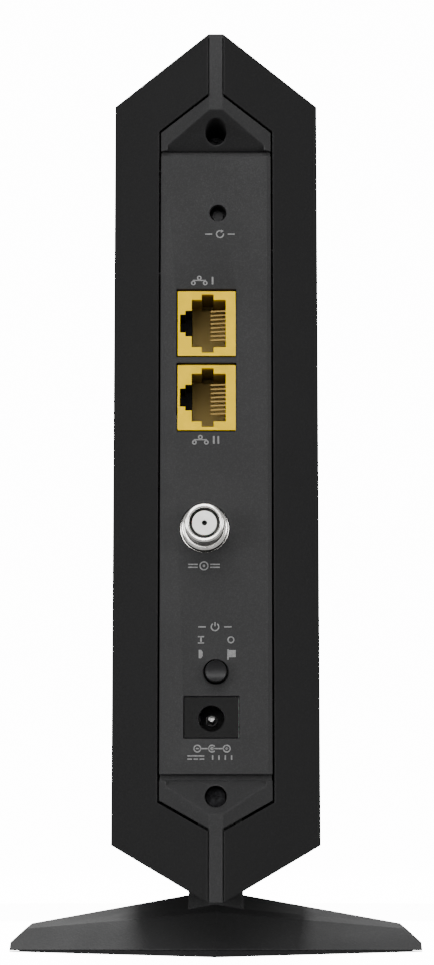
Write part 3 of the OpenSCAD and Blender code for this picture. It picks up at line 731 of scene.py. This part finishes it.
def panel_marks():
    """Generic pictograms in place of words, printed beside each connector."""
    face = PANEL_FACE
    lines = 0.3

    restart = Print((-1.0, 175.0), face, 1)
    restart.arc((0, 0), 0.85, lines, 60, 370)
    restart.patch([(0.25, 1.15), (0.95, 0.75), (0.2, 0.35)])
    restart.bar((-3.6, 0), (-1.9, 0), lines)
    restart.bar((1.9, 0), (3.6, 0), lines)
    restart.make("reset_mark", "io_panel")

    for number, middle in ((1, (2.4, 163.3)), (2, (2.1, 123.9))):
        network = Print(middle, face, 1)
        for x in (-3.1, -0.2):
            network.arc((x, -0.55), 0.42, lines)
        network.arc((-1.65, 0.72), 0.42, lines)
        network.bar((-3.1, -0.05), (-3.1, 0.1), lines)
        network.bar((-3.25, 0.1), (-0.05, 0.1), lines)
        network.bar((-0.2, -0.05), (-0.2, 0.1), lines)
        for k in range(number):
            network.bar((1.6 + 1.1 * k, -0.9), (1.6 + 1.1 * k, 1.0), 0.42)
        network.make(f"lan_{number}_mark", "io_panel")

    cable = Print((2.85, 93.3), face, 1)
    cable.arc((0, 0), 0.95, lines)
    cable.dot((0, 0), 0.32)
    for side in (-1, 1):
        cable.bar((side * 1.5, 0.35), (side * 3.8, 0.35), lines)
        cable.bar((side * 1.5, -0.35), (side * 3.8, -0.35), lines)
    cable.make("cable_mark", "io_panel")

    power = Print((0.2, 78.6), face, 1)
    power.arc((0, 0), 0.9, lines, 125, 415)
    power.bar((0, 0.15), (0, 1.15), lines)
    for side in (-1, 1):
        power.bar((side * 2.2, 0), (side * 4.0, 0), lines)
    power.make("power_mark", "io_panel")

    state = Print((0, 75.5), face, 1)
    state.bar((-3.55, -0.75), (-3.55, 0.75), 0.4)
    state.bar((-4.3, 0.75), (-2.8, 0.75), lines)
    state.bar((-4.3, -0.75), (-2.8, -0.75), lines)
    state.arc((3.6, 0), 0.7, lines)
    state.make("on_off_marks", "io_panel")

    push = Print((0, 72.1), face, 1)
    push.patch([(-4.1, 1.0), (-3.5, 1.0), (-3.15, 0.45), (-3.15, -0.45), (-3.5, -1.0), (-4.1, -1.0)])
    push.patch([(2.75, 1.1), (3.1, 1.1), (3.1, -1.35), (2.75, -1.35)])
    push.patch([(3.1, 0.95), (4.75, 0.95), (4.75, -0.75), (3.1, -0.75)])
    push.make("push_marks", "io_panel")

    polarity = Print((0.9, 49.6), face, 1)
    for side in (-1, 1):
        polarity.arc((side * 3.5, 0), 0.8, lines)
        polarity.bar((side * 3.85, 0), (side * 3.15, 0), lines)
    polarity.bar((3.5, -0.35), (3.5, 0.35), lines)
    polarity.arc((0, 0), 0.8, lines, 40, 320)
    polarity.dot((0, 0), 0.42)
    polarity.bar((-2.7, 0), (-0.8, 0), lines)
    polarity.bar((0, 0), (2.7, 0), lines)
    polarity.make("polarity_mark", "io_panel")

    supply = Print((1.15, 47.5), face, 1)
    supply.bar((-5.6, 0.38), (-1.6, 0.38), lines)
    for k in range(3):
        supply.bar((-5.6 + 1.45 * k, -0.38), (-4.5 + 1.45 * k, -0.38), lines)
    for k in range(4):
        supply.bar((0.4 + 1.5 * k, -0.55), (0.4 + 1.5 * k, 0.55), 0.34)
    supply.make("supply_mark", "io_panel")


def window_marks():
    """Seven generic icons behind the smoked lamp window, one for each lamp."""
    lo, _, mid = node_box("led_window")
    lamps_lo, lamps_hi, _ = node_box("leds")
    lamps = 7
    half_lamp = 0.9
    lamp_gap = (lamps_hi.z - lamps_lo.z - 2 * half_lamp) / (lamps - 1)
    heights = [lamps_lo.z + half_lamp + lamp_gap * k for k in range(lamps)]
    lines = 0.22

    def icon(k):
        return Print((mid.x, heights[k]), lo.y, -1)

    wide = icon(0)
    for k in (0, 1, 2):
        wide.arc((0, -0.9), 0.6 + 0.6 * k, lines, 45, 135)
    wide.dot((0, -0.9), 0.2)
    fast = icon(1)
    for k in (0, 1):
        fast.arc((0, -0.9), 0.9 + 0.8 * k, lines, 45, 135)
    fast.bar((0, -0.9), (0.7, 0.3), lines)
    link = icon(2)
    link.arc((-0.7, 0), 0.6, lines)
    link.arc((0.7, 0), 0.6, lines)
    globe = icon(3)
    globe.arc((0, 0), 1.2, lines)
    globe.bar((-1.2, 0), (1.2, 0), lines)
    globe.bar((0, -1.2), (0, 1.2), lines)
    up = icon(4)
    up.bar((0, -1.2), (0, 0.7), lines)
    up.patch([(-0.6, 0.5), (0, 1.3), (0.6, 0.5)])
    down = icon(5)
    down.bar((0, 1.2), (0, -0.7), lines)
    down.patch([(-0.6, -0.5), (0.6, -0.5), (0, -1.3)])
    power = icon(6)
    power.arc((0, 0), 1.0, lines, 125, 415)
    power.bar((0, 0.2), (0, 1.3), lines)
    for name, mark in (("wide_band", wide), ("fast_band", fast), ("link", link), ("network", globe),
                       ("upload", up), ("download", down), ("power", power)):
        mark.make(name + "_icon", "led_window", "icon")


# ------------------------------------------------------------------ stage, camera and light

def camera():
    """Low behind the router, looking slightly up at its connector panel. The lens, place and tilt
    come from a fit to points on the case, panel, jacks and stand in the photograph."""
    data = bpy.data.cameras.new("view")
    data.lens = 92.72
    data.sensor_width = 36
    data.clip_start = 0.01
    data.clip_end = 30
    cam = bpy.data.objects.new("view", data)
    cam.location = (-0.00028, 0.64785, 0.02779)
    cam.rotation_euler = (math.radians(90 + 8.215), 0, math.radians(180))
    bpy.context.scene.collection.objects.link(cam)
    bpy.context.scene.camera = cam


SWEEP_GLOW = 14.0


def studio_floor():
    """A pale round sweep: a floor that curves up into a wall on every side."""
    reach, bend, height = 3.2, 1.2, 4.5
    profile = [(0, 0), (0.5, 0), (1.2, 0), (reach - bend, 0)]
    profile += [(reach - bend + bend * math.sin(t), bend - bend * math.cos(t))
                for t in [math.radians(7.5 * i) for i in range(1, 13)]]
    profile.append((reach, height))
    steps = 72
    bm = bmesh.new()
    rows = []
    for r, z in profile:
        if r == 0:
            rows.append([bm.verts.new((0, 0, z))])
        else:
            rows.append([bm.verts.new((r * math.cos(TAU * i / steps), r * math.sin(TAU * i / steps), z))
                         for i in range(steps)])
    join_rings(bm, rows)
    mesh = bpy.data.meshes.new("sweep")
    bm.to_mesh(mesh)
    bm.free()
    mesh.shade_smooth()
    sweep = bpy.data.objects.new("sweep", mesh)
    bpy.context.scene.collection.objects.link(sweep)
    f = Finish("sweep_paper")
    grain = f.noise(40, detail=2)
    mesh.materials.append(f.set(
        Base_Color=f.mix(f.remap(grain, 0, 1), (0.86, 0.86, 0.86), (0.9, 0.9, 0.9)),
        Roughness=0.9,
        Emission_Color=(1.0, 1.0, 1.0, 1.0),
        Emission_Strength=SWEEP_GLOW,
    ))
    sweep.visible_diffuse = False
    sweep.visible_glossy = False
    sweep.visible_transmission = False
    sweep.visible_shadow = False


def floor_shade():
    """Dark card on the floor, hidden from the camera, that keeps light from coming up from below."""
    bm = bmesh.new()
    bmesh.ops.create_circle(bm, cap_ends=True, segments=48, radius=0.5)
    mesh = bpy.data.meshes.new("floor_shade")
    bm.to_mesh(mesh)
    bm.free()
    card = bpy.data.objects.new("floor_shade", mesh)
    card.location.z = -0.001
    bpy.context.scene.collection.objects.link(card)
    mesh.materials.append(soft_rubber("shade_card", (0.05, 0.05, 0.05)))
    card.visible_camera = False
    card.visible_glossy = False


def soft_box(name, place, target, size, power):
    """A rectangular area light of this size and power, turned towards the target."""
    data = bpy.data.lights.new(name, "AREA")
    data.shape = "RECTANGLE"
    data.size, data.size_y = size
    data.energy = power
    lamp = bpy.data.objects.new(name, data)
    lamp.location = place
    lamp.rotation_euler = (Vector(target) - Vector(place)).to_track_quat("-Z", "Y").to_euler()
    bpy.context.scene.collection.objects.link(lamp)


def studio_light():
    """Soft boxes high and low behind the camera and on both sides, a small one for sparkle in
    the metal, and one for the front of the router."""
    middle = (0, 0, 0.12)
    soft_box("key", (0.12, 1.2, 1.0), middle, (0.9, 0.9), 18)
    soft_box("low_left", (1.05, 1.1, 0.22), middle, (0.7, 0.5), 12)
    soft_box("low_right", (-1.05, 1.1, 0.22), middle, (0.7, 0.5), 11)
    soft_box("sparkle", (0.12, 1.5, 0.27), middle, (0.4, 0.4), 3)
    soft_box("front", (0.1, -1.0, 1.6), middle, (0.9, 0.9), 50)
    world = bpy.data.worlds.new("studio")
    world.use_nodes = True
    world.node_tree.nodes["Background"].inputs["Color"].default_value = (1, 1, 1, 1)
    world.node_tree.nodes["Background"].inputs["Strength"].default_value = 0.5
    bpy.context.scene.world = world


case()
network_jacks()
coax_barrel()
coax_insulator()
power_inlet()
power_button()
panel_marks()
window_marks()
camera()
studio_floor()
floor_shade()
studio_light()
